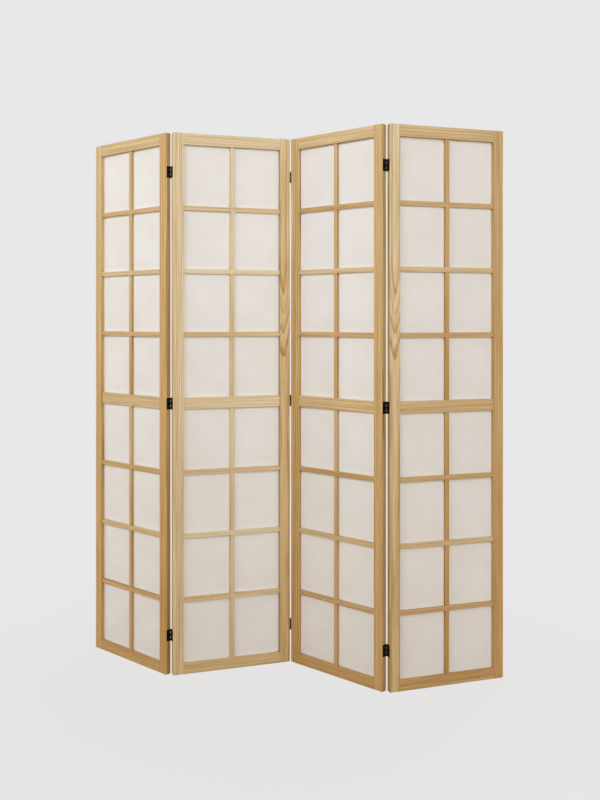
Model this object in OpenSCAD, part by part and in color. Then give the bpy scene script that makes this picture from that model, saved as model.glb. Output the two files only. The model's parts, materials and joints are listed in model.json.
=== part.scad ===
// Folding room divider: four papered lattice panels, joined edge to edge by butt hinges.
// Each panel is modelled lying square in its own frame, x across it from its left edge,
// y from its front face to its back, z up from the floor, and is then turned into the zigzag.

/* [Screen] */
// Height of every panel
screen_h = 1780; // [1300:1:2200]
// Width of one panel
panel_w = 406; // [300:1:600]
// Thickness of the stiles and of the top and bottom rails
panel_t = 18; // [15:0.1:26]
// Angle between the faces of two neighbouring panels, as the screen stands
open_angle = 115.5; // [60:0.5:170]

/* [Frame] */
// Width of a stile
stile_w = 36; // [30:0.1:60]
// Height of the top rail
top_rail_h = 38; // [30:1:70]
// Height of the middle rail
middle_rail_h = 38; // [30:1:70]
// Height of the bottom rail
bottom_rail_h = 35; // [30:1:70]
// Radius of the stiles' outer arrises
outer_round = 2; // [1:0.5:4]
// Radius that eases the arrises facing the paper
inner_round = 0.8; // [0.4:0.1:1]
// Radius of a panel's four corners, seen from the front
corner_round = 4; // [2:0.5:10]

/* [Lattice] */
// How far the lattice and the middle rail lie behind the stiles' front
lattice_set_back = 3; // [2:0.5:4]
// Depth of a lattice bar, front to back
bar_depth = 9; // [7.5:0.1:11]
// Height of a cross bar
cross_bar_h = 15; // [12:0.5:24]
// Width of an upright bar
upright_bar_w = 14; // [11:0.5:24]
// Cross bars in each opening
cross_bars = 3; // [1:1:4]
// Length of the stub tenon on each end of a bar
stub_l = 6; // [3:0.5:8]

/* [Paper] */
// Thickness of the paper
paper_t = 0.4; // [0.3:0.1:0.8]
// Width of the rebate that the paper's edge lies in
rebate_w = 7; // [5:0.5:9]
// How far the beads that hold the paper lie below the frame's back
bead_set_back = 0.6; // [0:0.1:2]

/* [Dowels] */
// Diameter of a dowel
dowel_d = 6; // [5:0.5:7]
// Length of a dowel
dowel_l = 30; // [20:1:34]
// Distance between a joint's two dowels
dowel_pitch = 16; // [13:1:17]

/* [Hinges] */
// Height of a hinge
hinge_h = 38; // [30:1:60]
// Distance from the middle of an end hinge to the panel's end
hinge_inset = 129; // [80:1:250]
// Diameter of the hinge barrel, which is also the gap between two panels
barrel_d = 3.6; // [3:0.1:6]
// Distance from the barrel's axis to the panel face that it stands at
barrel_proud = 0.5; // [0.5:0.1:3]
// Thickness of a hinge leaf
leaf_t = 0.9; // [0.7:0.1:1.1]
// Width of a leaf, from the barrel's axis
leaf_w = 17.5; // [14:0.5:18]
// Diameter of a hinge pin
pin_d = 1.6; // [1.2:0.1:1.8]
// Knuckles in one barrel
knuckles = 5; // [3:2:7]
// Distance between a leaf's two screws
screw_pitch = 22; // [16:1:26]
// Diameter of a screw's shank
screw_d = 2.6; // [2:0.1:3]
// Diameter of a screw's head
head_d = 4.8; // [4.2:0.1:5.4]
// Length of a screw
screw_l = 14; // [10:0.5:16]

/* [Hidden] */
$fn = 48;
panels = [1, 2, 3, 4];
joints = [1, 2, 3];
eps = 0.01;                // how far a cut runs past the face that it opens
running_fit = 0.05;        // radial clearance of pins, dowels and screw shanks in their holes
knuckle_gap = 0.3;         // end gap between two knuckles
bead_joint = 0.2;          // joint between a short bead's end and a long bead
swing_clear = 0.4;         // clearance round a knuckle for the other leaf
head_clear = 0.1;          // clearance round a screw's head in its countersink
hole_spare = 1;            // depth of a blind hole past what it holds
shoulder = 3;              // shoulder of a stub tenon, above and below it
stub_t = 5;                // thickness of a stub tenon, front to back
leaf_corner = 1.5;         // radius of a leaf's free corners
pin_head_d = 3;            // diameter of the button on each end of a pin
pin_head_t = 0.8;          // thickness of that button
recess_l = 3;              // length of the cross recess in a screw's head
recess_w = 0.7;            // width of its arms
recess_depth = 0.8;        // depth of the recess
tip_l = 3;                 // length of a screw's pointed end
tip_d = 0.6;               // diameter of the point

wood = [0.82, 0.68, 0.47];
bar_wood = [0.80, 0.65, 0.43];
dowel_wood = [0.74, 0.60, 0.42];
paper_white = [0.92, 0.90, 0.87];
dark_bronze = [0.14, 0.11, 0.09];
screw_bronze = [0.22, 0.17, 0.12];

opening_w = panel_w - 2 * stile_w;
middle_z = (screen_h - middle_rail_h) / 2;              // underside of the middle rail
lower_opening = [bottom_rail_h, middle_z];
upper_opening = [middle_z + middle_rail_h, screen_h - top_rail_h];
openings = [lower_opening, upper_opening];
paper_y = lattice_set_back + bar_depth;                  // the paper lies on the bars' backs
bead_t = panel_t - paper_y - paper_t - bead_set_back;
dowel_y = lattice_set_back + bar_depth / 2;              // clear of the middle rail's front and the rebates
hinge_gap = barrel_d;
knuckle_r = barrel_d / 2;
knuckle_l = hinge_h / knuckles;
hinge_heights = [hinge_inset, screen_h / 2, screen_h - hinge_inset];
screw_heights = [for (z = hinge_heights, side = [-1, 1]) z + side * screw_pitch / 2];

// ---- Where each panel stands ----

turn = (180 - open_angle) / 2;                           // each panel's turn from the screen's line

function heading(p) = p % 2 == 1 ? -turn : turn;
function turned(v, a) = [v.x * cos(a) - v.y * sin(a), v.x * sin(a) + v.y * cos(a)];

// Odd joints fold back to back, so their barrels stand behind; even ones fold front to front
function folds_back(j) = j % 2 == 1;
function axis_y(j) = folds_back(j) ? panel_t + barrel_proud : -barrel_proud;
function right_axis(p) = [panel_w + hinge_gap / 2, axis_y(p)];
function left_axis(p) = [-hinge_gap / 2, axis_y(p - 1)];

// A chain of panels from the first one's corner, each hung on the axis before it
function chained(p) = p == 1 ? [0, 0]
    : chained(p - 1) + turned(right_axis(p - 1), heading(p - 1)) - turned(left_axis(p), heading(p));

// The middle of the screen's outline: the middle joint's axis across, and half way from the
// foremost to the rearmost rounded arris
foremost = turned([panel_w - outer_round, outer_round], heading(1)).y - outer_round;
rearmost = turned([outer_round, panel_t - outer_round], heading(1)).y + outer_round;
middle = [chained(2).x + turned(right_axis(2), heading(2)).x, (foremost + rearmost) / 2];

module in_panel(p) {
    translate(concat(chained(p) - middle, 0)) rotate(heading(p)) children();
}

// ---- Wooden frame ----

// Section of a board, with one radius on its left arrises and another on its right ones
module board_section(w, t, left_r, right_r) {
    translate([left_r, 0]) square([w - left_r - right_r, t]);
    translate([0, left_r]) square([left_r, t - 2 * left_r]);
    translate([w - right_r, right_r]) square([right_r, t - 2 * right_r]);
    for (y = [left_r, t - left_r]) translate([left_r, y]) circle(left_r);
    for (y = [right_r, t - right_r]) translate([w - right_r, y]) circle(right_r);
}

// The front outline of a left stile: its outer corners are rounded
module stile_outline() {
    translate([corner_round, 0]) square([stile_w - corner_round, screen_h]);
    translate([0, corner_round]) square([corner_round, screen_h - 2 * corner_round]);
    for (z = [corner_round, screen_h - corner_round]) translate([corner_round, z]) circle(corner_round);
}

// The rebates in the frame's back that take the paper and its beads
module paper_rebates() {
    for (o = openings)
        translate([stile_w - rebate_w, paper_y, o[0] - rebate_w])
            cube([opening_w + 2 * rebate_w, panel_t - paper_y + eps, o[1] - o[0] + 2 * rebate_w]);
}

// Middle heights of the cross bars in one opening
function bar_heights(o) = [for (i = [1:cross_bars]) o[0] + i * (o[1] - o[0]) / (cross_bars + 1)];
function all_bar_heights() = [for (o = openings) each bar_heights(o)];

function rail_middles() = [bottom_rail_h / 2, screen_h / 2, screen_h - top_rail_h / 2];

// Both dowels of each joint between the rails and one stile, or their holes
module dowel_set(x, d, l) {
    for (z = rail_middles(), side = [-1, 1])
        translate([x - l / 2, dowel_y, z + side * dowel_pitch / 2])
            rotate([0, 90, 0]) cylinder(h = l, d = d);
}

module dowel_holes() {
    for (x = [stile_w, panel_w - stile_w])
        dowel_set(x, dowel_d + 2 * running_fit, dowel_l + 2 * hole_spare);
}

// The stub tenons on both ends of every cross bar, which are also their mortises
module cross_stubs() {
    for (z = all_bar_heights())
        translate([stile_w - stub_l, stub_y(), z - cross_bar_h / 2 + shoulder])
            cube([opening_w + 2 * stub_l, stub_t, cross_bar_h - 2 * shoulder]);
}

// The stub tenons on both ends of every upright bar, which are also their mortises
module upright_stubs() {
    for (o = openings)
        translate([(panel_w - upright_bar_w) / 2 + shoulder, stub_y(), o[0] - stub_l])
            cube([upright_bar_w - 2 * shoulder, stub_t, o[1] - o[0] + 2 * stub_l]);
}

function stub_y() = lattice_set_back + (bar_depth - stub_t) / 2;

module left_stile() {
    color(wood) difference() {
        intersection() {
            linear_extrude(screen_h) board_section(stile_w, panel_t, outer_round, inner_round);
            translate([0, panel_t, 0]) rotate([90, 0, 0]) linear_extrude(panel_t) stile_outline();
        }
        paper_rebates();
        cross_stubs();
        dowel_holes();
        children();
    }
}

// A right stile is a left one mirrored about the panel's upright centre line
module right_stile() {
    translate([panel_w, 0, 0]) mirror([1, 0, 0]) left_stile() children();
}

// Pilot holes for the hinge screws, drilled into a left stile's outer edge
module pilot_holes() {
    for (z = screw_heights)
        translate([-eps, panel_t / 2, z]) rotate([0, 90, 0])
            cylinder(h = screw_l - leaf_t + hole_spare, d = screw_d + 2 * running_fit);
}

// A rail lies between the stiles; low and high say which of its edges face the paper
module rail(z, h, front, low, high) {
    color(wood) difference() {
        translate([stile_w, front, z]) rotate([90, 0, 90]) linear_extrude(opening_w)
            rail_section(panel_t - front, h, low ? inner_round : outer_round, high ? inner_round : outer_round);
        paper_rebates();
        upright_stubs();
        dowel_holes();
    }
}

module rail_section(t, h, low_r, high_r) {
    mirror([1, 0]) rotate(90) board_section(h, t, low_r, high_r);
}

module top_rail() { rail(screen_h - top_rail_h, top_rail_h, 0, true, false); }
module middle_rail() { rail(middle_z, middle_rail_h, lattice_set_back, true, true); }
module bottom_rail() { rail(0, bottom_rail_h, 0, false, true); }

module dowels() {
    color(dowel_wood) for (x = [stile_w, panel_w - stile_w]) dowel_set(x, dowel_d, dowel_l);
}

// ---- Lattice ----

// The upright bars lose their front halves at each crossing, and the cross bars their back halves
module half_laps(front) {
    for (z = all_bar_heights())
        translate([(panel_w - upright_bar_w) / 2, front ? lattice_set_back - eps : lap_y(), z - cross_bar_h / 2])
            cube([upright_bar_w, bar_depth / 2 + eps, cross_bar_h]);
}

function lap_y() = lattice_set_back + bar_depth / 2;

module upright_bars() {
    color(bar_wood) difference() {
        union() {
            for (o = openings)
                translate([(panel_w - upright_bar_w) / 2, lattice_set_back, o[0]])
                    cube([upright_bar_w, bar_depth, o[1] - o[0]]);
            upright_stubs();
        }
        half_laps(true);
    }
}

module cross_bar_set() {
    color(bar_wood) difference() {
        union() {
            for (z = all_bar_heights())
                translate([stile_w, lattice_set_back, z - cross_bar_h / 2])
                    cube([opening_w, bar_depth, cross_bar_h]);
            cross_stubs();
        }
        half_laps(false);
    }
}

// ---- Paper and its beads ----

module paper(o) {
    color(paper_white)
        translate([stile_w - rebate_w, paper_y, o[0] - rebate_w])
            cube([opening_w + 2 * rebate_w, paper_t, o[1] - o[0] + 2 * rebate_w]);
}

// Two long beads and two short ones between them, round each opening
module paper_beads() {
    color(bar_wood) for (o = openings) {
        for (x = [stile_w - rebate_w, panel_w - stile_w])
            translate([x, paper_y + paper_t, o[0] - rebate_w])
                cube([rebate_w, bead_t, o[1] - o[0] + 2 * rebate_w]);
        for (z = [o[0] - rebate_w, o[1]])
            translate([stile_w + bead_joint, paper_y + paper_t, z])
                cube([opening_w - 2 * bead_joint, bead_t, rebate_w]);
    }
}

// ---- Hinges ----
// A hinge is drawn about its barrel's axis: its own panel's edge stands at x = -knuckle_r, and
// the leaf runs from the axis along +y. The left leaf of a joint is screwed to the left panel.

// Knuckles of a joint's left leaf are the first, third and so on; the right leaf has the others
module knuckle_set(left) {
    for (i = [left ? 0 : 1 : 2 : knuckles - 1]) {
        low = i > 0 ? knuckle_gap / 2 : 0;
        high = i < knuckles - 1 ? knuckle_gap / 2 : 0;
        translate([0, 0, i * knuckle_l - hinge_h / 2 + low])
            cylinder(h = knuckle_l - low - high, r = knuckle_r);
    }
}

// The room that one leaf's knuckles need as they turn past the other leaf's plate
module knuckle_room(left) {
    for (i = [left ? 0 : 1 : 2 : knuckles - 1])
        translate([0, 0, i * knuckle_l - (hinge_h + knuckle_gap) / 2])
            cylinder(h = knuckle_l + knuckle_gap, r = knuckle_r + swing_clear);
}

module leaf_plate() {
    translate([-knuckle_r, 0, 0]) rotate([90, 0, 90]) linear_extrude(leaf_t) {
        translate([0, -hinge_h / 2]) square([leaf_w - leaf_corner, hinge_h]);
        translate([0, leaf_corner - hinge_h / 2]) square([leaf_w, hinge_h - 2 * leaf_corner]);
        for (z = [leaf_corner - hinge_h / 2, hinge_h / 2 - leaf_corner])
            translate([leaf_w - leaf_corner, z]) circle(leaf_corner);
    }
}

// A leaf's screws go in half way through the panel's thickness
module at_screws() {
    for (z = [-1, 1] * screw_pitch / 2)
        translate([leaf_t - knuckle_r, barrel_proud + panel_t / 2, z]) rotate([0, 90, 0]) children();
}

// A countersunk head's cone, its wide face at z = 0 and the screw running down
module countersink(clear) {
    translate([0, 0, -leaf_t - eps])
        cylinder(h = leaf_t + 2 * eps, d1 = screw_d + 2 * clear, d2 = head_d + 2 * clear);
}

module leaf(left) {
    color(dark_bronze) difference() {
        union() {
            leaf_plate();
            knuckle_set(left);
        }
        knuckle_room(!left);
        cylinder(h = hinge_h + 2 * eps, d = pin_d + 2 * running_fit, center = true);
        at_screws() countersink(head_clear);
    }
}

module pin() {
    color(screw_bronze) {
        cylinder(h = hinge_h, d = pin_d, center = true);
        for (side = [-1, 1])
            translate([0, 0, side * (hinge_h + pin_head_t) / 2])
                cylinder(h = pin_head_t, d = pin_head_d, center = true);
    }
}

// A countersunk wood screw with a cross recess, its head flush with the leaf
module screw() {
    color(screw_bronze) difference() {
        union() {
            translate([0, 0, -leaf_t]) cylinder(h = leaf_t, d1 = screw_d, d2 = head_d);
            translate([0, 0, tip_l - screw_l]) cylinder(h = screw_l - leaf_t - tip_l, d = screw_d);
            translate([0, 0, -screw_l]) cylinder(h = tip_l, d1 = tip_d, d2 = screw_d);
        }
        for (a = [0, 90]) rotate(a)
            translate([-recess_l / 2, -recess_w / 2, -recess_depth])
                cube([recess_l, recess_w, recess_depth + eps]);
    }
}

// Places a joint's three hinges in the frame of the panel on its left or on its right
module at_hinges(j, left) {
    axis = left ? right_axis(j) : left_axis(j + 1);
    in_panel(left ? j : j + 1)
        for (z = hinge_heights)
            translate([axis.x, axis.y, z])
                mirror([left ? 0 : 1, 0, 0]) mirror([0, folds_back(j) ? 1 : 0, 0]) children();
}

// ---- The screen ----

module shown(name) {
    children();
}

for (p = panels) {
    piece = str("panel_", p, "_");
    shown(str(piece, "left_stile")) in_panel(p) left_stile() { if (p > panels[0]) pilot_holes(); }
    shown(str(piece, "right_stile")) in_panel(p) right_stile() { if (p < len(panels)) pilot_holes(); }
    shown(str(piece, "top_rail")) in_panel(p) top_rail();
    shown(str(piece, "middle_rail")) in_panel(p) middle_rail();
    shown(str(piece, "bottom_rail")) in_panel(p) bottom_rail();
    shown(str(piece, "upright_bars")) in_panel(p) upright_bars();
    shown(str(piece, "cross_bars")) in_panel(p) cross_bar_set();
    shown(str(piece, "upper_paper")) in_panel(p) paper(upper_opening);
    shown(str(piece, "lower_paper")) in_panel(p) paper(lower_opening);
    shown(str(piece, "paper_beads")) in_panel(p) paper_beads();
    shown(str(piece, "dowels")) in_panel(p) dowels();
}

for (j = joints) {
    piece = str("hinge_", j, "_");
    shown(str(piece, "left_leaves")) at_hinges(j, true) leaf(true);
    shown(str(piece, "right_leaves")) at_hinges(j, false) leaf(false);
    shown(str(piece, "pins")) at_hinges(j, true) pin();
    shown(str(piece, "left_screws")) at_hinges(j, true) at_screws() screw();
    shown(str(piece, "right_screws")) at_hinges(j, false) at_screws() screw();
}
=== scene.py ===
"""Folding room divider: papered lattice panels hinged edge to edge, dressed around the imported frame.

Every solid is shaped in the frame of the panel that it belongs to, x across the panel from its
left edge, y from its front face to its back and z up from the floor, and is then carried into the
row frame in its own mesh. Lengths are in metres.
"""

import json
import logging
import math
import random
from collections.abc import Callable, Iterable, Sequence
from dataclasses import dataclass
from enum import Enum, IntEnum

import bmesh
import bpy
from bmesh.types import BMEdge, BMesh, BMFace, BMVert
from bpy.types import Material, Node, NodeSocket, NodeTree, Object, Scene
from mathutils import Matrix, Vector, noise
from mathutils.bvhtree import BVHTree

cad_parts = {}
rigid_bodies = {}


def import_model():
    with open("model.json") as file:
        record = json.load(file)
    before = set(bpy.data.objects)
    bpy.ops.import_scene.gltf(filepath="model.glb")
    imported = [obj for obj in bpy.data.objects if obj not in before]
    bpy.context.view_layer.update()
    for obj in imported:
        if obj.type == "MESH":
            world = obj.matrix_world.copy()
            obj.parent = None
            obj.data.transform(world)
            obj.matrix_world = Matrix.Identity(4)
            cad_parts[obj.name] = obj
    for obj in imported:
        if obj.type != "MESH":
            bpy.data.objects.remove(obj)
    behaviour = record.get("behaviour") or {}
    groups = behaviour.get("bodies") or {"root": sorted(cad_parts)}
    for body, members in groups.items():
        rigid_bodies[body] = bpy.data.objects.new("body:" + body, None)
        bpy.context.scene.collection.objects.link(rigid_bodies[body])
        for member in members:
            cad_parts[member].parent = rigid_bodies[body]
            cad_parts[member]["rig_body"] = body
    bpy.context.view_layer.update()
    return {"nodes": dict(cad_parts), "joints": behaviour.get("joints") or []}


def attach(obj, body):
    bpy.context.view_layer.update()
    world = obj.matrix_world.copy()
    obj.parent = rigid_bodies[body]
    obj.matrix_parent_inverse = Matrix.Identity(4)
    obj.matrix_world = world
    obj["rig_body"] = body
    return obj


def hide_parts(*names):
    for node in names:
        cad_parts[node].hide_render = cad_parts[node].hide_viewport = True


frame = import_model()

MM = 0.001
NEAR = 2e-6             # points closer than this are the same point
CUT = 2e-5              # distance between the two rings that a step is opened from
SHARP = math.radians(40)
GRAIN = "grain"         # attribute: a point's place in the log, x along the fibres
TONE_AND_PAINTED_LIGHT = "tone"           # attribute: how deep the wood's colour is, above 0 deeper and below 0 paler; partly the board's own tone and partly painted light, as painted shade towards the floor and painted sheen
PAINTED_EDGE_SHADING = "edge"           # attribute: painted shade on a board's narrow faces, deepest at 1, and painted light on a sheet's rim beside the wood
BACKED = "backed"       # attribute of the paper: above 0 where it lies on wood, and below 0 beside it; above 0 it is darkened, partly as the lattice's painted shadow
PAINTED_SHADE_REACH = 1.0 * MM  # how far round an arris the painted shade of the narrow faces runs
HEART_RUN = 0.07        # the share of a board's length over which its log's heart runs off
SAWING_SPREAD = 7       # degrees that a board may be off its sawing, either way
LOG_RUN = 40            # metres of log that boards come from
SHADE_SPREAD = 0.25     # how far one board's tone may be off another's, either way

Colour = tuple[float, float, float, float]
Shift = Callable[[Vector], Vector | None]       # a point's new place, or None to leave it

log = logging.getLogger("screen")


class Axis(IntEnum):
    """A direction in a panel's own frame."""

    ACROSS = 0
    DEPTH = 1
    UP = 2

    @property
    def unit(self) -> Vector:
        """The unit vector along this direction."""
        return Vector([float(self == axis) for axis in range(3)])


class Side(Enum):
    """Which end of a panel, or which leaf of a joint, something belongs to."""

    LEFT = "left"
    RIGHT = "right"


@dataclass(frozen=True)
class Block:
    """An upright box, by its lowest and highest corners."""

    low: Vector
    high: Vector

    @property
    def middle(self) -> Vector:
        """The box's middle."""
        return (self.low + self.high) / 2

    @property
    def size(self) -> Vector:
        """The box's width, depth and height."""
        return self.high - self.low

    @property
    def longest(self) -> Axis:
        """The direction in which the box is longest."""
        return max(Axis, key=lambda axis: self.size[axis])

    @classmethod
    def around(cls, points: Iterable[Vector]) -> "Block":
        """The smallest box that holds some points."""
        kept = list(points)
        low = Vector([min(p[axis] for p in kept) for axis in Axis])
        high = Vector([max(p[axis] for p in kept) for axis in Axis])
        return cls(low, high)


# ---- Reading the frame ----


def islands(bm: BMesh) -> list[list[BMVert]]:
    """Sorts a mesh's points into the separate solids that they belong to.

    Args:
        bm: The mesh, with its doubles merged.

    Returns:
        One list of points for each solid.
    """
    found, seen = [], set()
    for start in bm.verts:
        if start in seen:
            continue
        seen.add(start)
        group, waiting = [], [start]
        while waiting:
            vert = waiting.pop()
            group.append(vert)
            for edge in vert.link_edges:
                other = edge.other_vert(vert)
                if other not in seen:
                    seen.add(other)
                    waiting.append(other)
        found.append(group)
    return found


@dataclass(frozen=True)
class Place:
    """Where a panel stands, as the move from its own frame to the row frame."""

    number: int
    to_row: Matrix

    @classmethod
    def of(cls, number: int) -> "Place":
        """Finds a panel's heading from its lower sheet's corners, and its corner from its left stile.

        Args:
            number: The panel's number, counted from 1 at the left.

        Returns:
            The panel's place.
        """
        sheet = frame["nodes"][f"panel_{number}_lower_paper"].data.vertices
        corners = [Vector(c) for c in {(round(v.co.x, 5), round(v.co.y, 5)) for v in sheet}]
        centre = sum(corners, Vector((0, 0))) / len(corners)
        spread = [c - centre for c in corners]
        skew = sum(s.x * s.y for s in spread)
        stretch = sum(s.x * s.x - s.y * s.y for s in spread)
        turn = Matrix.Rotation(math.atan2(2 * skew, stretch) / 2, 4, "Z")
        stile = frame["nodes"][f"panel_{number}_left_stile"].data.vertices
        corner = Block.around(turn.inverted() @ v.co for v in stile).low
        return cls(number, turn @ Matrix.Translation(corner))

    def solids(self, node: str) -> list[Block]:
        """Measures a node's solids in this panel's frame.

        Args:
            node: The CAD node's name.

        Returns:
            The box of each solid, from the lowest up and then from left to right.
        """
        bm = bmesh.new()
        bm.from_mesh(frame["nodes"][node].data)
        bmesh.ops.remove_doubles(bm, verts=bm.verts, dist=NEAR)
        bm.transform(self.to_row.inverted())
        boxes = [Block.around(v.co for v in group) for group in islands(bm)]
        bm.free()
        return sorted(boxes, key=lambda box: (round(box.middle.z, 4), box.middle.x))


# ---- Shaping ----


def lies_at(edge: BMEdge, axis: Axis, place: float) -> bool:
    """Whether both of an edge's ends stand at one place along an axis."""
    return all(abs(vert.co[axis] - place) < NEAR for vert in edge.verts)


def level_with(box: Block, across: float) -> Vector:
    """The point at one place across the panel that is level with a box's middle."""
    return Vector((across, box.middle.y, box.middle.z))


def runs_along(edge: BMEdge, axis: Axis) -> bool:
    """Whether an edge runs along an axis."""
    run = edge.verts[1].co - edge.verts[0].co
    return abs(run[axis]) > 0.999 * run.length


class Stock:
    """One solid being shaped, which starts as a squared block of wood or metal."""

    rim_margin = 1.35       # half side of the square scribed round a hole, as a share of its radius
    rim_cuts = 5            # points added on each side of that square, to lie round the circle
    rim_band = 0.2          # the band between square and circle, as a share of the radius

    def __init__(self, block: Block) -> None:
        """Squares up the block.

        Args:
            block: The box that the solid is cut from.
        """
        self.bm = bmesh.new()
        bmesh.ops.create_cube(self.bm, size=1.0)
        bmesh.ops.scale(self.bm, vec=block.size, verts=self.bm.verts)
        bmesh.ops.translate(self.bm, vec=block.middle, verts=self.bm.verts)

    def slice(self, axis: Axis, *places: float) -> None:
        """Scribes a ring of edges round the solid at each place along an axis."""
        for place in places:
            everything = [*self.bm.verts, *self.bm.edges, *self.bm.faces]
            bmesh.ops.bisect_plane(
                self.bm, geom=everything, dist=NEAR, plane_co=axis.unit * place, plane_no=axis.unit
            )

    def round_over(self, wanted: Callable[[BMEdge], bool], radius: float, segments: int) -> None:
        """Rounds the chosen edges.

        Args:
            wanted: Says whether an edge is one to round.
            radius: How far the round reaches from the edge.
            segments: Faces across the round.
        """
        chosen = [edge for edge in self.bm.edges if wanted(edge)]
        bmesh.ops.bevel(
            self.bm, geom=chosen, offset=radius, offset_type="OFFSET", segments=segments,
            profile=0.5, affect="EDGES", clamp_overlap=True, material=-1,
        )

    def soften(self, radius: float, segments: int) -> None:
        """Takes the sharpness off every edge that is still square."""
        self.round_over(lambda e: e.calc_face_angle(0.0) > SHARP, radius, segments)

    def move(self, shift: Shift) -> None:
        """Moves points to where a function puts them, and leaves those that it gives None for."""
        for vert in self.bm.verts:
            target = shift(vert.co)
            if target is not None:
                vert.co = target

    def step(self, axis: Axis, start: float, stop: float, shift: Shift) -> None:
        """Moves the points between two places along an axis, and leaves square walls at both ends.

        Args:
            axis: The direction that the step runs in.
            start: Where it starts.
            stop: Where it ends.
            shift: Gives a point's new place, or None to leave it.
        """
        self.slice(axis, start, start + CUT, stop - CUT, stop)
        inner = (start + CUT, stop - CUT)
        self.move(lambda p: shift(p) if inner[0] - NEAR < p[axis] < inner[1] + NEAR else None)
        for vert in self.bm.verts:
            for place, edge in zip(inner, (start, stop)):
                if abs(vert.co[axis] - place) < NEAR:
                    vert.co[axis] = edge
        bmesh.ops.remove_doubles(self.bm, verts=self.bm.verts, dist=NEAR)

    def face_at(self, point: Vector) -> BMFace:
        """The face nearest to a point."""
        self.bm.faces.ensure_lookup_table()
        return self.bm.faces[BVHTree.FromBMesh(self.bm).find_nearest(point)[2]]

    def panel_cut(self, centre: Vector, half: Vector) -> BMFace:
        """Scribes a rectangle on the flat face that holds a point.

        Args:
            centre: The rectangle's middle, on the face.
            half: Half its size along each axis, with 0 across the face.

        Returns:
            The face inside the rectangle.
        """
        for axis in Axis:
            for side in (-1, 1) if half[axis] else ():
                face = self.face_at(centre)
                bmesh.ops.bisect_plane(
                    self.bm, geom=[face, *face.edges, *face.verts], dist=NEAR,
                    plane_co=centre + axis.unit * side * half[axis], plane_no=axis.unit,
                )
        return self.face_at(centre)

    def raise_face(self, face: BMFace, rise: Vector, share: float = 1.0) -> BMFace:
        """Draws a face out of the solid, or sinks it in.

        Args:
            face: The face.
            rise: How far it moves, and which way.
            share: Its new size as a share of the old one.

        Returns:
            The face where it ends up.
        """
        made = bmesh.ops.extrude_face_region(self.bm, geom=[face])["geom"]
        moved = next(g for g in made if isinstance(g, BMFace))
        centre = moved.calc_center_median()
        for vert in moved.verts:
            vert.co = centre + (vert.co - centre) * share + rise
        return moved

    def mortise(self, centre: Vector, half: Vector, rise: Vector) -> None:
        """Sinks a square mortise into a face, or draws a tenon out of it."""
        self.raise_face(self.panel_cut(centre, half), rise)

    def rim(self, centre: Vector, facing: Axis, radius: float) -> BMFace:
        """Scribes a circle on the flat face that holds a point.

        Args:
            centre: The circle's middle, on the face.
            facing: The axis that the face looks along.
            radius: The circle's radius.

        Returns:
            The round face inside the circle.
        """
        half = Vector([0.0 if axis == facing else radius * self.rim_margin for axis in Axis])
        face = self.panel_cut(centre, half)
        bmesh.ops.bisect_edges(self.bm, edges=list(face.edges), cuts=self.rim_cuts)
        bmesh.ops.inset_individual(self.bm, faces=[face], thickness=radius * self.rim_band)
        for vert in face.verts:
            vert.co = centre + (vert.co - centre).normalized() * radius
        return face

    def bore(self, centre: Vector, facing: Axis, radius: float, rise: float) -> None:
        """Drills a blind round hole into a face, by a negative or positive run along its axis."""
        self.raise_face(self.rim(centre, facing, radius), facing.unit * rise)

    def countersink(self, mouth: Vector, facing: Axis, depth: float, radii: tuple[float, float]) -> None:
        """Opens a tapered hole right through a plate.

        Args:
            mouth: The hole's middle on the face that it is wide at.
            facing: The axis that the hole runs along.
            depth: The run from there to the far face, along that axis.
            radii: Its radius at the mouth and at the far face.
        """
        rims = [
            self.rim(mouth + facing.unit * run, facing, radius) for run, radius in zip((0.0, depth), radii)
        ]
        loops = [edge for face in rims for edge in face.edges]
        bmesh.ops.delete(self.bm, geom=rims, context="FACES_ONLY")
        bmesh.ops.bridge_loops(self.bm, edges=loops)

    def close(self) -> None:
        """Turns every face outwards."""
        bmesh.ops.recalc_face_normals(self.bm, faces=self.bm.faces)


class TurnedRod(Stock):
    """A round solid along z, drawn out of a first disc by steps of height and radius."""

    def __init__(self, stations: Sequence[tuple[float, float]], segments: int = 24) -> None:
        """Draws the rod.

        Args:
            stations: The height and radius of each ring, from the lower end up.
            segments: Points round it.
        """
        self.bm = bmesh.new()
        height, radius = stations[0]
        bmesh.ops.create_circle(self.bm, cap_ends=True, segments=segments, radius=radius)
        bmesh.ops.translate(self.bm, vec=(0, 0, height), verts=self.bm.verts)
        [face] = self.bm.faces
        for to_height, to_radius in stations[1:]:
            face = self.raise_face(face, Vector((0.0, 0.0, to_height - height)), to_radius / radius)
            height, radius = to_height, to_radius

    def flute(self, depth: float) -> None:
        """Presses grooves along the rod, at every other point round it."""
        full = max(vert.co.xy.length for vert in self.bm.verts)
        for ring_at in {round(vert.co.z, 6) for vert in self.bm.verts}:
            ring = [vert for vert in self.bm.verts if abs(vert.co.z - ring_at) < NEAR]
            ring.sort(key=lambda vert: math.atan2(vert.co.y, vert.co.x))
            for vert in ring[::2]:
                if vert.co.xy.length > full - NEAR:
                    vert.co.xy = vert.co.xy * (1 - depth / full)


# ---- Grain ----


class Sawing(Enum):
    """How a board lies to its log's rings, as the turn of its wide face from the radius, in degrees."""

    QUARTER = 8
    RIFT = 42
    FLAT = 86


@dataclass(frozen=True)
class Board:
    """How a board was sawn, and how it looks beside its neighbours."""

    sawing: Sawing
    pith: float                                 # from the log's heart to the board's middle
    tone: tuple[float, float] = (0.0, 0.0)      # at the board's low end and at its high end; a deeper low end is painted shade
    edges: tuple[float, float] = (0.5, 0.5)     # depth of painted shade on its low and high narrow faces
    heart: float = 0.0                          # how far the heart lies to one side
    run_off: float = 0.0                        # how much deeper the heart lies at the low end
    run_off_at: float = 0.5                     # where along the board it sinks away


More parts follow.
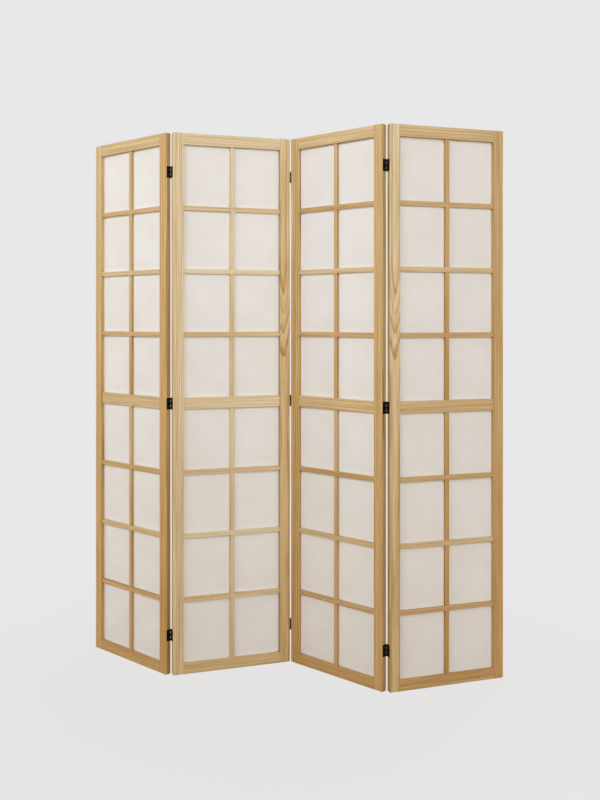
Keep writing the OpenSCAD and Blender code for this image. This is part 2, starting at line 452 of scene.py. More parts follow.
class Timber:
    """Chooses where in its log each board was sawn, and writes that on the board's points."""

    def __init__(self, seed: int) -> None:
        """Starts the pile of boards.

        Args:
            seed: The seed of its random choices.
        """
        self.chance = random.Random(seed)

    def saw(self, bm: BMesh, block: Block, board: Board, deeper: float = 0.0) -> None:
        """Writes the grain, tone and edge attributes of one solid, the edge being painted shade on its
        narrow faces and the tone partly painted light.

        Args:
            bm: The solid, in its panel's frame.
            block: The box that it was cut from.
            board: The board that it was cut from.
            deeper: How much deeper in tone this one is than others cut from such a board.
        """
        along = block.longest
        wide, thin = sorted((axis for axis in Axis if axis != along), key=lambda axis: -block.size[axis])
        half = block.size / 2
        sawn = board.sawing.value + self.chance.uniform(-SAWING_SPREAD, SAWING_SPREAD)
        turn = Matrix.Rotation(math.radians(sawn), 3, "X")
        start, way = self.chance.uniform(0, LOG_RUN), self.chance.choice((-1, 1))
        shade = self.chance.uniform(-SHADE_SPREAD, SHADE_SPREAD)
        grain = bm.verts.layers.float_vector.new(GRAIN)
        tone, edge = (bm.verts.layers.float.new(name) for name in (TONE_AND_PAINTED_LIGHT, PAINTED_EDGE_SHADING))
        for vert in bm.verts:
            at = vert.co - block.middle
            share = at[along] / block.size[along] + 0.5
            sunk = board.run_off * (1 + math.tanh((board.run_off_at - share) / HEART_RUN)) / 2
            from_heart = Vector((start, way * (board.pith + sunk), 0.0))
            vert[grain] = turn @ Vector((at[along], at[wide] - board.heart, at[thin])) + from_heart
            vert[tone] = board.tone[0] + (board.tone[1] - board.tone[0]) * share + shade + deeper
            on_wide_face = half[thin] - abs(at[thin]) < NEAR
            near = max(0.0, 1 - (half[wide] - abs(at[wide])) / PAINTED_SHADE_REACH)
            vert[edge] = 0.0 if on_wide_face else near * board.edges[at[wide] > 0]


def joined(solids: Sequence[BMesh]) -> BMesh:
    """Gathers several solids in one mesh, with their attributes, and frees them."""
    whole = bmesh.new()
    for solid in solids:
        part = bpy.data.meshes.new("part")
        solid.to_mesh(part)
        solid.free()
        whole.from_mesh(part)
        bpy.data.meshes.remove(part)
    return whole


def carried(bm: BMesh, move: Matrix) -> BMesh:
    """Moves a shape, and keeps its faces outwards if the move mirrors it."""
    bm.transform(move)
    if move.determinant() < 0:
        bmesh.ops.reverse_faces(bm, faces=bm.faces)
    return bm


# ---- Finishing ----


@dataclass(frozen=True)
class Label:
    """A piece's name, the CAD node that it stands for, and the slot that its finish is written in."""

    name: str
    node: str
    slot: str


def place_piece(label: Label, bm: BMesh, to_row: Matrix, material: Material) -> Object:
    """Makes a finished piece of a shaped mesh and hangs it on its body.

    Args:
        label: The piece's names.
        bm: Its shape, which is freed.
        to_row: The move from the shape's frame to the row frame.
        material: Its finish.

    Returns:
        The piece.
    """
    mesh = bpy.data.meshes.new(label.name)
    carried(bm, to_row).to_mesh(mesh)
    bm.free()
    mesh.shade_smooth()
    mesh.set_sharp_from_angle(angle=SHARP)
    mesh.materials.append(material)
    piece = bpy.data.objects.new(label.name, mesh)
    bpy.context.scene.collection.objects.link(piece)
    shading = piece.modifiers.new("even_shading", "WEIGHTED_NORMAL")
    shading.keep_sharp = True
    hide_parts(label.node)
    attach(piece, frame["nodes"][label.node]["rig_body"])
    log.info("%s: %d points, %d faces", label.name, len(mesh.vertices), len(mesh.polygons))
    return piece


# ---- Node helpers ----


class Nodes:
    """Adds nodes to a material or a group and joins them up."""

    def __init__(self, tree: NodeTree) -> None:
        """Takes the tree to add to."""
        self.tree = tree

    def add(self, kind: str, values: dict | None = None, **settings: object) -> Node:
        """Adds a node.

        Args:
            kind: The node's type, such as ShaderNodeMath.
            values: What each input gets, as for feed.
            settings: The node's own properties.

        Returns:
            The node.
        """
        node = self.tree.nodes.new(kind)
        for name, value in settings.items():
            setattr(node, name, value)
        self.feed(node, values or {})
        return node

    def feed(self, node: Node, values: dict) -> None:
        """Gives inputs what they get, by name or number, a socket to link or a value.

        Args:
            node: The node.
            values: What each input gets.
        """
        for key, value in values.items():
            if isinstance(value, NodeSocket):
                self.tree.links.new(value, node.inputs[key])
            else:
                node.inputs[key].default_value = value

    def attribute(self, name: str, output: str = "Fac") -> NodeSocket:
        """One of the mesh's own attributes."""
        return self.add("ShaderNodeAttribute", attribute_name=name).outputs[output]

    def bump(self, height: NodeSocket, strength: float, distance: float) -> NodeSocket:
        """The normal of a surface that a height roughens."""
        values = {"Strength": strength, "Distance": distance, "Height": height}
        return self.add("ShaderNodeBump", values).outputs["Normal"]

    def math(self, operation: str, *values: object) -> NodeSocket:
        """The result of a Math node on up to three values or sockets."""
        return self.add("ShaderNodeMath", dict(enumerate(values)), operation=operation).outputs[0]

    def vector(self, operation: str, *values: object) -> NodeSocket:
        """The result of a Vector Math node, a value for LENGTH and DOT_PRODUCT and a vector otherwise."""
        node = self.add("ShaderNodeVectorMath", dict(enumerate(values)), operation=operation)
        return node.outputs["Value" if operation in ("LENGTH", "DOT_PRODUCT") else "Vector"]

    def noise(self, vector: object, scale: float, detail: float, output: str = "Fac") -> NodeSocket:
        """A Noise texture read at a vector."""
        values = {"Vector": vector, "Scale": scale, "Detail": detail, "Roughness": 0.55}
        return self.add("ShaderNodeTexNoise", values).outputs[output]

    def ramp(self, value: object, low: float, high: float, start: float, stop: float) -> NodeSocket:
        """A smooth step of a value: start where it is low, and stop where it is high."""
        values = {"Value": value, "From Min": low, "From Max": high, "To Min": start, "To Max": stop}
        return self.add("ShaderNodeMapRange", values, interpolation_type="SMOOTHSTEP").outputs["Result"]

    def blend(self, amount: object, first: object, second: object) -> NodeSocket:
        """One colour laid over another."""
        values = {"Factor": amount, 6: first, 7: second}
        return self.add("ShaderNodeMix", values, data_type="RGBA").outputs[2]


def new_group(
    name: str, inputs: dict[str, object], outputs: dict[str, str]
) -> tuple[NodeTree, Nodes, Node, Node]:
    """Starts a shader node group.

    Args:
        name: The group's name.
        inputs: Each input's first value, by name: a number, a colour of 4, or None for a vector.
        outputs: Each output's socket type, by name.

    Returns:
        The group, its node adder, its input node and its output node.
    """
    group = bpy.data.node_groups.new(name, "ShaderNodeTree")
    for key, value in inputs.items():
        kind = {float: "NodeSocketFloat", tuple: "NodeSocketColor"}.get(type(value), "NodeSocketVector")
        socket = group.interface.new_socket(key, in_out="INPUT", socket_type=kind)
        if value is not None:
            socket.default_value = value
    for key, kind in outputs.items():
        group.interface.new_socket(key, in_out="OUTPUT", socket_type=kind)
    nodes = Nodes(group)
    return group, nodes, nodes.add("NodeGroupInput"), nodes.add("NodeGroupOutput")


def new_material(name: str) -> tuple[Material, Nodes, Node]:
    """Starts a material with one Principled shader.

    Args:
        name: The material's name.

    Returns:
        The material, its node adder and its shader.
    """
    material = bpy.data.materials.new(name)
    material.use_nodes = True
    return material, Nodes(material.node_tree), material.node_tree.nodes["Principled BSDF"]


def linear(level: int) -> float:
    """One channel picked on screen, in 0 to 255, as the linear share that shaders take."""
    share = level / 255
    return share / 12.92 if share <= 0.04045 else ((share + 0.055) / 1.055) ** 2.4


def srgb(red: int, green: int, blue: int) -> Colour:
    """A colour picked on screen, as an opaque linear colour."""
    return (linear(red), linear(green), linear(blue), 1.0)


# ---- Finishes ----


def timber_figure() -> NodeTree:
    """Builds the group that draws growth rings, fibres and resin flecks in a log's own space, and darkens
    the colour by its Edge input, which is painted shade, and by its Tone input, which is partly painted
    light.

    Returns:
        The group. Its outputs are the wood's colour, a height for bump, and a gloss variation.
    """
    inputs = {
        "Place": None, "Tone": 0.0, "Edge": 0.0, "Ring Width": 0.0035, "Waver": 0.004,
        "Early Wood": srgb(224, 194, 144), "Late Wood": srgb(196, 152, 96), "Contrast": 0.8,
    }
    outputs = {"Color": "NodeSocketColor", "Height": "NodeSocketFloat", "Variation": "NodeSocketFloat"}
    group, n, given, result = new_group("timber_figure", inputs, outputs)
    place, tone, edge = (given.outputs[name] for name in ("Place", "Tone", "Edge"))

    drift = n.noise(n.vector("MULTIPLY", place, (2.2, 9.0, 9.0)), 1.0, 2.0, "Color")
    drift = n.vector("SUBTRACT", drift, (0.5, 0.5, 0.5))
    waver = n.add("ShaderNodeVectorMath", {0: drift, "Scale": given.outputs["Waver"]}, operation="SCALE")
    waver = waver.outputs["Vector"]
    bent = n.vector("MULTIPLY", n.vector("ADD", place, waver), (0.0, 1.0, 1.0))
    ripple = n.noise(n.vector("MULTIPLY", place, (9.0, 160.0, 160.0)), 1.0, 1.0)
    rings = n.math("DIVIDE", n.vector("LENGTH", bent), given.outputs["Ring Width"])
    rings = n.math("ADD", rings, n.math("MULTIPLY", ripple, 0.5))
    year = n.add("ShaderNodeTexWhiteNoise", {"W": n.math("FLOOR", rings)}, noise_dimensions="1D")
    season = n.math("FRACT", rings)
    summer = n.ramp(season, 0.42, 0.88, 0.0, 1.0)
    winter = n.ramp(season, 0.93, 1.0, 1.0, 0.0)
    late = n.math("MULTIPLY", summer, winter)
    late = n.math("MULTIPLY", late, n.ramp(year.outputs["Value"], 0.0, 1.0, 0.40, 1.0))
    late = n.math("MULTIPLY", late, given.outputs["Contrast"])
    colour = n.blend(late, given.outputs["Early Wood"], given.outputs["Late Wood"])

    fibre = n.noise(n.vector("MULTIPLY", place, (26.0, 1500.0, 1500.0)), 1.0, 3.0)
    streak = n.noise(n.vector("MULTIPLY", place, (3.5, 190.0, 190.0)), 1.0, 3.0)
    fleck = n.noise(n.vector("MULTIPLY", place, (70.0, 1900.0, 1900.0)), 1.0, 0.0)
    shade = n.math("ADD", n.ramp(fibre, 0.25, 0.75, -0.06, 0.06), n.ramp(streak, 0.28, 0.72, -0.14, 0.14))
    shade = n.math("SUBTRACT", shade, n.ramp(fleck, 0.70, 0.78, 0.0, 0.10))
    # Edge darkens and deepens the narrow faces as painted shade; Tone deepens or pales the wood, partly as
    # painted light.
    deep = n.math("ADD", n.math("MULTIPLY", tone, 0.13), n.math("MULTIPLY", edge, 0.16))
    dark = n.math("ADD", n.math("MULTIPLY", tone, 0.085), n.math("MULTIPLY", edge, 0.40))
    colour = n.add("ShaderNodeHueSaturation", {
        "Hue": n.math("SUBTRACT", 0.5, n.math("MULTIPLY", deep, 0.05)),
        "Saturation": n.math("ADD", n.math("SUBTRACT", 1.0, n.math("MULTIPLY", shade, 0.7)), deep),
        "Value": n.math("SUBTRACT", n.math("ADD", 1.0, shade), dark), "Color": colour,
    }).outputs["Color"]
    height = n.math("ADD", n.math("MULTIPLY", late, 0.5), n.math("MULTIPLY", fibre, 0.6))
    n.feed(result, {"Color": colour, "Height": height, "Variation": fibre})
    return group


@dataclass(frozen=True)
class WoodFinish:
    """A clear-lacquered softwood."""

    name: str
    early: Colour
    late: Colour
    ring_width: float
    waver: float
    contrast: float
    gloss: float = 0.46

    def material(self, figure: NodeTree) -> Material:
        """Builds the material.

        Args:
            figure: The timber_figure group.

        Returns:
            The material.
        """
        material, n, shader = new_material(self.name)
        wood = n.add("ShaderNodeGroup", {
            "Place": n.attribute(GRAIN, "Vector"), "Tone": n.attribute(TONE_AND_PAINTED_LIGHT), "Edge": n.attribute(PAINTED_EDGE_SHADING),
            "Ring Width": self.ring_width, "Waver": self.waver, "Contrast": self.contrast,
            "Early Wood": self.early, "Late Wood": self.late,
        }, node_tree=figure).outputs
        n.feed(shader, {
            "Base Color": wood["Color"],
            "Roughness": n.ramp(wood["Variation"], 0.2, 0.8, self.gloss - 0.07, self.gloss + 0.09),
            "Normal": n.bump(wood["Height"], 0.35, 0.12 * MM),
            "IOR": 1.48,
        })
        return material


STILE_WOOD = WoodFinish("stile_wood", srgb(217, 186, 131), srgb(184, 136, 70), 6.2 * MM, 7 * MM, 1.0)
RAIL_WOOD = WoodFinish("rail_wood", srgb(216, 184, 130), srgb(184, 138, 74), 3.6 * MM, 7 * MM, 0.85)
BAR_WOOD = WoodFinish("bar_wood", srgb(214, 181, 126), srgb(184, 136, 70), 3.2 * MM, 6 * MM, 0.75)
DOWEL_WOOD = WoodFinish("dowel_wood", srgb(208, 178, 134), srgb(180, 144, 98), 1.6 * MM, 2 * MM, 0.4, 0.6)


@dataclass(frozen=True)
class PaperFinish:
    """A matt off-white paper with fine long fibres, which lets a little light through."""

    name: str = "paper"
    pale: Colour = srgb(241, 238, 234)
    fibre: Colour = srgb(226, 219, 209)
    # painted light: the paler rim colour beside the wood, which offsets the shade there
    painted_light_rim: Colour = srgb(247, 245, 241)
    # over the wood: the wood's colour through the paper, partly the lattice's painted shadow
    over_wood: Colour = srgb(227, 215, 194)

    def material(self) -> Material:
        """Builds the material, palest beside the wood as painted light, and darker where wood shows through
        from below, partly as the lattice's painted shadow.
        """
        material, n, shader = new_material(self.name)
        place = n.attribute(GRAIN, "Vector")
        cloud = n.noise(place, 9.0, 4.0)
        pulp = n.noise(place, 700.0, 3.0)
        strands = [
            n.noise(n.vector("MULTIPLY", place, stretch), 1.0, 1.0)
            for stretch in ((900.0, 90.0, 90.0), (90.0, 900.0, 900.0))
        ]
        strand = n.math("MAXIMUM", *(n.ramp(s, 0.62, 0.70, 0.0, 1.0) for s in strands))
        amount = n.math("ADD", n.ramp(cloud, 0.3, 0.7, 0.0, 0.25), n.ramp(pulp, 0.3, 0.7, 0.0, 0.25))
        amount = n.math("ADD", amount, n.math("MULTIPLY", strand, 0.25))
        # The rim beside the wood is blended to painted light.
        colour = n.blend(n.attribute(PAINTED_EDGE_SHADING), n.blend(amount, self.pale, self.fibre), self.painted_light_rim)
        height = n.math("ADD", n.math("MULTIPLY", strand, 0.5), pulp)
        n.feed(shader, {
            "Base Color": n.blend(n.ramp(n.attribute(BACKED), 0.0, 1.0, 0.0, 1.0), colour, self.over_wood),
            "Roughness": n.ramp(pulp, 0.2, 0.8, 0.78, 0.92),
            "Normal": n.bump(height, 0.25, 0.1 * MM),
            "Subsurface Weight": 0.25,
            "Subsurface Radius": (1.0, 0.9, 0.8),
            "Subsurface Scale": 1.0 * MM,
            "Specular IOR Level": 0.25,
        })
        return material


def worn_metal() -> NodeTree:
    """Builds the group that wears a dark coating through along edges and clouds its surface.

    Returns:
        The group. Its outputs are the colour, the roughness, and a height for bump.
    """
    inputs = {
        "Place": None, "Coating": srgb(34, 28, 23), "Bare Metal": srgb(120, 96, 66),
        "Edge Reach": 0.0004, "Wear": 0.7,
    }
    outputs = {"Color": "NodeSocketColor", "Roughness": "NodeSocketFloat", "Height": "NodeSocketFloat"}
    group, n, given, result = new_group("worn_metal", inputs, outputs)
    place = given.outputs["Place"]
    soft = n.add("ShaderNodeBevel", {"Radius": given.outputs["Edge Reach"]}, samples=6).outputs["Normal"]
    true = n.add("ShaderNodeNewGeometry").outputs["Normal"]
    edge = n.ramp(n.vector("DOT_PRODUCT", soft, true), 0.80, 0.995, 1.0, 0.0)
    patch = n.ramp(n.noise(place, 900.0, 4.0), 0.38, 0.62, 0.2, 1.0)
    worn = n.math("MULTIPLY", n.math("MULTIPLY", edge, patch), given.outputs["Wear"])
    cloud = n.noise(place, 350.0, 4.0)
    colour = n.blend(worn, given.outputs["Coating"], given.outputs["Bare Metal"])
    colour = n.blend(n.ramp(cloud, 0.3, 0.7, 0.0, 0.12), colour, given.outputs["Bare Metal"])
    rough = n.math("SUBTRACT", n.ramp(cloud, 0.3, 0.7, 0.34, 0.50), n.math("MULTIPLY", worn, 0.12))
    n.feed(result, {"Color": colour, "Roughness": rough, "Height": n.noise(place, 2500.0, 2.0)})
    return group


@dataclass(frozen=True)
class MetalFinish:
    """A dark bronzed steel, worn along its edges."""

    name: str
    coating: Colour
    bare: Colour
    wear: float
    metallic: float

    def material(self, worn: NodeTree) -> Material:
        """Builds the material.

        Args:
            worn: The worn_metal group.

        Returns:
            The material.
        """
        material, n, shader = new_material(self.name)
        metal = n.add("ShaderNodeGroup", {
            "Place": n.add("ShaderNodeTexCoord").outputs["Object"],
            "Coating": self.coating, "Bare Metal": self.bare, "Wear": self.wear,
        }, node_tree=worn).outputs
        n.feed(shader, {
            "Base Color": metal["Color"],
            "Roughness": metal["Roughness"],
            "Normal": n.bump(metal["Height"], 0.2, 0.04 * MM),
            "Metallic": self.metallic,
        })
        return material


LEAF_METAL = MetalFinish("hinge_metal", srgb(48, 38, 29), srgb(156, 124, 84), 0.85, 0.85)
PIN_METAL = MetalFinish("pin_metal", srgb(58, 46, 34), srgb(168, 136, 94), 0.85, 0.9)
SCREW_METAL = MetalFinish("screw_metal", srgb(62, 50, 38), srgb(170, 140, 100), 0.9, 0.9)


class Finishes:
    """Every material of the screen, each built once."""

    def __init__(self) -> None:
        """Builds the shared groups and the materials."""
        figure, worn = timber_figure(), worn_metal()
        self.stile = STILE_WOOD.material(figure)
        self.rail = RAIL_WOOD.material(figure)
        self.bar = BAR_WOOD.material(figure)
        self.dowel = DOWEL_WOOD.material(figure)
        self.paper = PaperFinish().material()
        self.leaf = LEAF_METAL.material(worn)
        self.pin = PIN_METAL.material(worn)
        self.screw = SCREW_METAL.material(worn)


# ---- Panels ----


FIGURED_CUTS = 36       # lengths that a stile is divided in where its grain bends
# Stile tones run deeper at the low end as painted shade towards the floor, and the paler left stiles of
# panels 2 and 4 carry painted sheen; the edges are painted shade on the narrow faces.
STILE_BOARDS = {
    (1, Side.LEFT): Board(Sawing.RIFT, 40 * MM, (1.0, -0.3), (0.4, 0.1)),
    (1, Side.RIGHT): Board(Sawing.RIFT, 34 * MM, (0.9, 0.3), (0.5, 0.3)),
    (2, Side.LEFT): Board(Sawing.QUARTER, 60 * MM, (-0.9, -1.2), (0.6, 0.1)),
    (2, Side.RIGHT): Board(Sawing.FLAT, 9 * MM, (0.5, -0.2), (0.4, 0.8), 8 * MM, 26 * MM, 0.66),
    (3, Side.LEFT): Board(Sawing.RIFT, 44 * MM, (0.8, 0.0), (0.5, 0.1)),
    (3, Side.RIGHT): Board(Sawing.QUARTER, 50 * MM, (0.4, 0.0), (0.5, 0.3)),
    (4, Side.LEFT): Board(Sawing.FLAT, 8 * MM, (-0.4, -1.0), (0.7, 0.2), 4 * MM, 28 * MM, 0.66),
    (4, Side.RIGHT): Board(Sawing.QUARTER, 38 * MM, (0.8, 0.3), (0.4, 0.5)),
}
# The rails' and cross bars' edges are painted shade on their narrow faces, deepest under the top rail; the
# bottom rail's deeper tone is painted shade towards the floor.
RAIL_BOARDS = {
    "bottom": Board(Sawing.RIFT, 44 * MM, (0.8, 0.8), (0.3, 0.3)),
    "middle": Board(Sawing.RIFT, 34 * MM, (-0.3, -0.3), (0.6, 0.3)),
    "top": Board(Sawing.RIFT, 52 * MM, (-0.4, -0.4), (1.0, 0.3)),
}
CROSS_BOARDS = (
    Board(Sawing.RIFT, 60 * MM, (0.6, 0.6), (0.7, 0.5)),
    Board(Sawing.QUARTER, 66 * MM, (-0.7, -0.7), (0.7, 0.5)),
    Board(Sawing.RIFT, 50 * MM, (0.6, 0.6), (0.7, 0.5)),
)
RAIL_TONES = {1: -0.2, 2: -1.5, 3: -0.1, 4: 0.0}         # what each panel's rails and cross bars add
UPRIGHT_TONES = {1: 0.2, 2: -1.4, 3: 0.0, 4: 1.2}        # and its upright bars
# The upright bars' tone runs deeper at the low end, as painted shade.
UPRIGHT_BOARD = Board(Sawing.QUARTER, 60 * MM, (0.4, -0.6), (0.5, 0.5))
HIDDEN_BOARD = Board(Sawing.QUARTER, 60 * MM, edges=(0.0, 0.0))


@dataclass
class Panel:
    """One panel: stiles, rails, lattice, two sheets of paper, the beads behind them and the dowels."""

    place: Place
    finishes: Finishes
    timber: Timber
    arris: float = 2.0 * MM           # round of the outer arrises
    corner: float = 4.0 * MM          # round of the panel's four corners
    inner_arris: float = 0.6 * MM     # ease of the arrises round the openings
    bar_arris: float = 0.45 * MM      # ease of the lattice bars' arrises
    bead_arris: float = 0.6 * MM      # round of the beads' arrises at the back
    dowel_clearance: float = 0.05 * MM
    dowel_spare: float = 1.0 * MM     # how much deeper a dowel's hole is than the dowel
    dowel_chamfer: float = 0.8 * MM
    dowel_flute: float = 0.25 * MM
    pilot_share: float = 0.25         # radius of a pilot hole, as a share of the screw's head
    tenon_shoulder: float = 3.0 * MM  # what a tenon steps in from a bar's narrow faces
    tenon_cheek: float = 2.0 * MM     # and from its wide faces
    painted_light_reach: float = 14.0 * MM     # how far the painted light on a sheet's paler rim runs from the wood
    backed_from: float = 1.0 * MM     # how far in from a bar's edge the wood, and with it the lattice's painted shadow, starts to show through a sheet
    backed_reach: float = 3.0 * MM    # and over what width it comes to its full strength
    cell: float = 6.0 * MM            # size of the mesh of a sheet
    paper_gap: float = 0.02 * MM      # how far a sheet's face is from the bars
    paper_share: float = 0.8          # its thickness, as a share of its room
    slack: float = 0.16 * MM          # how far a sheet stands back where it is slackest
    slack_reach: float = 30.0 * MM    # how far from the wood that is
    ripple: float = 0.4               # how much the slack varies, as a share
    ripples: tuple[float, float] = (14.0, 9.0)      # ripples to a metre, across and up

    def __post_init__(self) -> None:
        """Reads the panel's sizes from the frame."""
        self.number = self.place.number
        self.left = self.block("left_stile")
        self.right = self.block("right_stile")
        self.papers = {level: self.block(f"{level}_paper") for level in ("lower", "upper")}
        self.cross_bars = self.place.solids(self.node("cross_bars"))
        self.upright_bars = self.place.solids(self.node("upright_bars"))
        self.dowels = self.place.solids(self.node("dowels"))
        self.beads = self.place.solids(self.node("paper_beads"))
        rails = [self.block(f"{name}_rail") for name in ("bottom", "middle", "top")]
        self.rails = dict(zip(("bottom", "middle", "top"), rails))
        self.openings = [(a.high.z, b.low.z) for a, b in zip(rails, rails[1:])]
        self.width = self.right.high.x
        self.ripple_seed = self.number * 7.3
        self.paper_y = self.papers["lower"].low.y
        self.rebate = self.left.high.x - self.papers["lower"].low.x

    def node(self, name: str) -> str:
        """The CAD node of one of this panel's pieces."""
        return f"panel_{self.number}_{name}"

    def block(self, name: str) -> Block:
        """The box of a piece that is one solid."""
        return self.place.solids(self.node(name))[0]

    def label(self, name: str, slot: str) -> Label:
        """The names of one of this panel's pieces."""
        return Label(f"p{self.number}_{name}", self.node(name), slot)

    def build(self) -> None:
        """Makes every piece of the panel."""
        for side in Side:
            self.build_stile(side)
        for name in self.rails:
            self.build_rail(name)
        self.build_cross_bars()
        self.build_upright_bars()
        for level in self.papers:
            self.build_paper(level)
        self.build_beads()
        self.build_dowels()

    def fix(self, name: str, slot: str, solids: Sequence[BMesh], material: Material) -> None:
        """Places one of this panel's pieces that is made of several solids."""
        place_piece(self.label(name, slot), joined(solids), self.place.to_row, material)

    # -- frame --

    def build_stile(self, side: Side) -> None:
        """Makes a stile as a left one, with its rebates, mortises and holes, and mirrors a right one."""
        block, inner, back = self.left, self.left.high.x, self.left.high.y
        stock = Stock(block)
        stock.round_over(
            lambda e: runs_along(e, Axis.DEPTH) and lies_at(e, Axis.ACROSS, block.low.x), self.corner, 6
        )
        stock.round_over(
            lambda e: any(lies_at(e, Axis.DEPTH, y) for y in (block.low.y, back))
            and not lies_at(e, Axis.ACROSS, inner),
            self.arris, 4,
        )
        stock.slice(Axis.ACROSS, inner - self.rebate)
        stock.slice(Axis.DEPTH, self.paper_y)
        corner = Vector((inner - self.rebate, self.paper_y, 0.0))
        for low, high in self.openings:
            stock.step(
                Axis.UP, low - self.rebate, high + self.rebate,
                lambda p: Vector((corner.x, corner.y, p.z))
                if abs(p.x - inner) < NEAR and abs(p.y - back) < NEAR else None,
            )
            stock.slice(Axis.UP, low, high)
        stock.round_over(
            lambda e: lies_at(e, Axis.ACROSS, inner) and lies_at(e, Axis.DEPTH, block.low.y)
            and any(low < (e.verts[0].co.z + e.verts[1].co.z) / 2 < high for low, high in self.openings),
            self.inner_arris, 2,
        )
        self.cut_joints(stock)
        self.drill_pilots(stock, side)
        board = STILE_BOARDS[self.number, side]
        if board.run_off:
            stock.slice(Axis.UP, *(block.size.z * i / FIGURED_CUTS for i in range(1, FIGURED_CUTS)))
        stock.close()
        self.timber.saw(stock.bm, block, board)
        to_row = self.place.to_row
        if side is Side.RIGHT:
            mirror = Matrix.Translation((self.width, 0, 0)) @ Matrix.Scale(-1, 4, Axis.ACROSS.unit)
            to_row = to_row @ mirror
        place_piece(self.label(f"{side.value}_stile", "stile_wood"), stock.bm, to_row, self.finishes.stile)

    def cut_joints(self, stock: Stock) -> None:
        """Cuts the mortises for the cross bars' tenons and drills the dowel holes in a stile's edge."""
        face = self.left.high.x
        for bar in self.cross_bars:
            half = Vector((0.0, bar.size.y / 2 - self.tenon_cheek, bar.size.z / 2 - self.tenon_shoulder))
            stock.mortise(level_with(bar, face), half, Axis.ACROSS.unit * (bar.low.x - face))
        for dowel in self.dowels:
            if dowel.low.x < face:
                radius, run = dowel.size.z / 2 + self.dowel_clearance, dowel.low.x - face - self.dowel_spare
                stock.bore(level_with(dowel, face), Axis.ACROSS, radius, run)

    def drill_pilots(self, stock: Stock, side: Side) -> None:
        """Drills the pilot holes for the hinge screws in a stile's outer edge, if it carries hinges."""
        joint = self.number - (1 if side is Side.LEFT else 0)
        leaf = "right" if side is Side.LEFT else "left"
        node = f"hinge_{joint}_{leaf}_screws"
        if node not in frame["nodes"]:
            return
        for screw in self.place.solids(node):
            mouth = level_with(screw, self.left.low.x)
            depth = min(screw.high.x, screw.size.x)
            stock.bore(mouth, Axis.ACROSS, screw.size.z * self.pilot_share, depth)

    def build_rail(self, name: str) -> None:
        """Makes a rail, rebated behind along each edge that faces a sheet of paper."""
        block = self.rails[name]
        stock = Stock(block)
        faces_up, faces_down = name != "top", name != "bottom"
        for z, outer in ((block.low.z, not faces_down), (block.high.z, not faces_up)):
            radius, segments = (self.arris, 4) if outer else (self.inner_arris, 2)
            stock.round_over(
                lambda e: runs_along(e, Axis.ACROSS) and lies_at(e, Axis.UP, z)
                and (outer or lies_at(e, Axis.DEPTH, block.low.y)),
                radius, segments,
            )
        stock.slice(Axis.DEPTH, self.paper_y)
        for z, inward, wanted in ((block.low.z, 1, faces_down), (block.high.z, -1, faces_up)):
            if wanted:
                floor = z + inward * self.rebate
                stock.slice(Axis.UP, floor)
                stock.move(
                    lambda p: Vector((p.x, self.paper_y, floor))
                    if abs(p.z - z) < NEAR and abs(p.y - block.high.y) < NEAR else None
                )
        for bar in self.upright_bars:
            for z, into in ((block.low.z, 1), (block.high.z, -1)):
                if bar.low.z - NEAR < z < bar.high.z + NEAR:
                    centre = Vector((bar.middle.x, bar.middle.y, z))
                    half = bar.size / 2 - Vector((self.tenon_shoulder, self.tenon_cheek, bar.size.z / 2))
                    depth = min(abs(z - bar.low.z), abs(z - bar.high.z))
                    stock.mortise(centre, half, Axis.UP.unit * into * depth)
        for dowel in self.dowels:
            if block.low.z < dowel.middle.z < block.high.z:
                into = 1 if dowel.low.x < block.low.x else -1
                mouth = level_with(dowel, block.low.x if into > 0 else block.high.x)
                radius, depth = dowel.size.z / 2 + self.dowel_clearance, dowel.size.x / 2 + self.dowel_spare
                stock.bore(mouth, Axis.ACROSS, radius, into * depth)
        stock.close()
        self.timber.saw(stock.bm, block, RAIL_BOARDS[name], RAIL_TONES[self.number])
        place_piece(self.label(f"{name}_rail", "rail_wood"), stock.bm, self.place.to_row, self.finishes.rail)

    # -- lattice --

    def bar(self, box: Block, along: Axis, shoulders: tuple[float, float]) -> Stock:
        """Makes a lattice bar between its shoulders, with a stub tenon on each end.

        Args:
            box: The bar's box, tenons included.
            along: The direction that it runs in.
            shoulders: Where its two shoulders stand.

        Returns:
            The bar, before its laps are cut.
        """
        low, high = box.low.copy(), box.high.copy()
        low[along], high[along] = shoulders
        stock = Stock(Block(low, high))
        stock.round_over(lambda e: runs_along(e, along), self.bar_arris, 2)
        for end, out in zip(shoulders, (-1, 1)):
            centre = box.middle
            centre[along] = end
            reach = abs((box.low if out < 0 else box.high)[along] - end)
            half = box.size / 2 - Vector([self.tenon_shoulder] * 3)
            half[Axis.DEPTH] = box.size.y / 2 - self.tenon_cheek
            half[along] = 0.0
            stock.mortise(centre, half, along.unit * out * reach)
        return stock

    def build_cross_bars(self) -> None:
        """Makes the cross bars, lapped behind where the upright bars pass."""
        post = self.upright_bars[0]
        solids = []
        for box in self.cross_bars:
            stock = self.bar(box, Axis.ACROSS, (self.left.high.x, self.right.low.x))
            stock.step(
                Axis.ACROSS, post.low.x, post.high.x,
                lambda p: Vector((p.x, box.middle.y, p.z)) if p.y > box.middle.y else None,
            )
            stock.close()
            board = CROSS_BOARDS[len(solids) % len(CROSS_BOARDS)]
            self.timber.saw(stock.bm, box, board, RAIL_TONES[self.number])
            solids.append(stock.bm)
        self.fix("cross_bars", "bar_wood", solids, self.finishes.bar)

    def build_upright_bars(self) -> None:
        """Makes the upright bars, lapped in front where the cross bars pass."""
        solids = []
        for box, (low, high) in zip(self.upright_bars, self.openings):
            stock = self.bar(box, Axis.UP, (low, high))
            for cross in self.cross_bars:
                if low < cross.middle.z < high:
                    stock.step(
                        Axis.UP, cross.low.z, cross.high.z,
                        lambda p: Vector((p.x, box.middle.y, p.z)) if p.y < box.middle.y else None,
                    )
            stock.close()
            self.timber.saw(stock.bm, box, UPRIGHT_BOARD, UPRIGHT_TONES[self.number])
            solids.append(stock.bm)
        self.fix("upright_bars", "bar_wood", solids, self.finishes.bar)

    # -- paper --

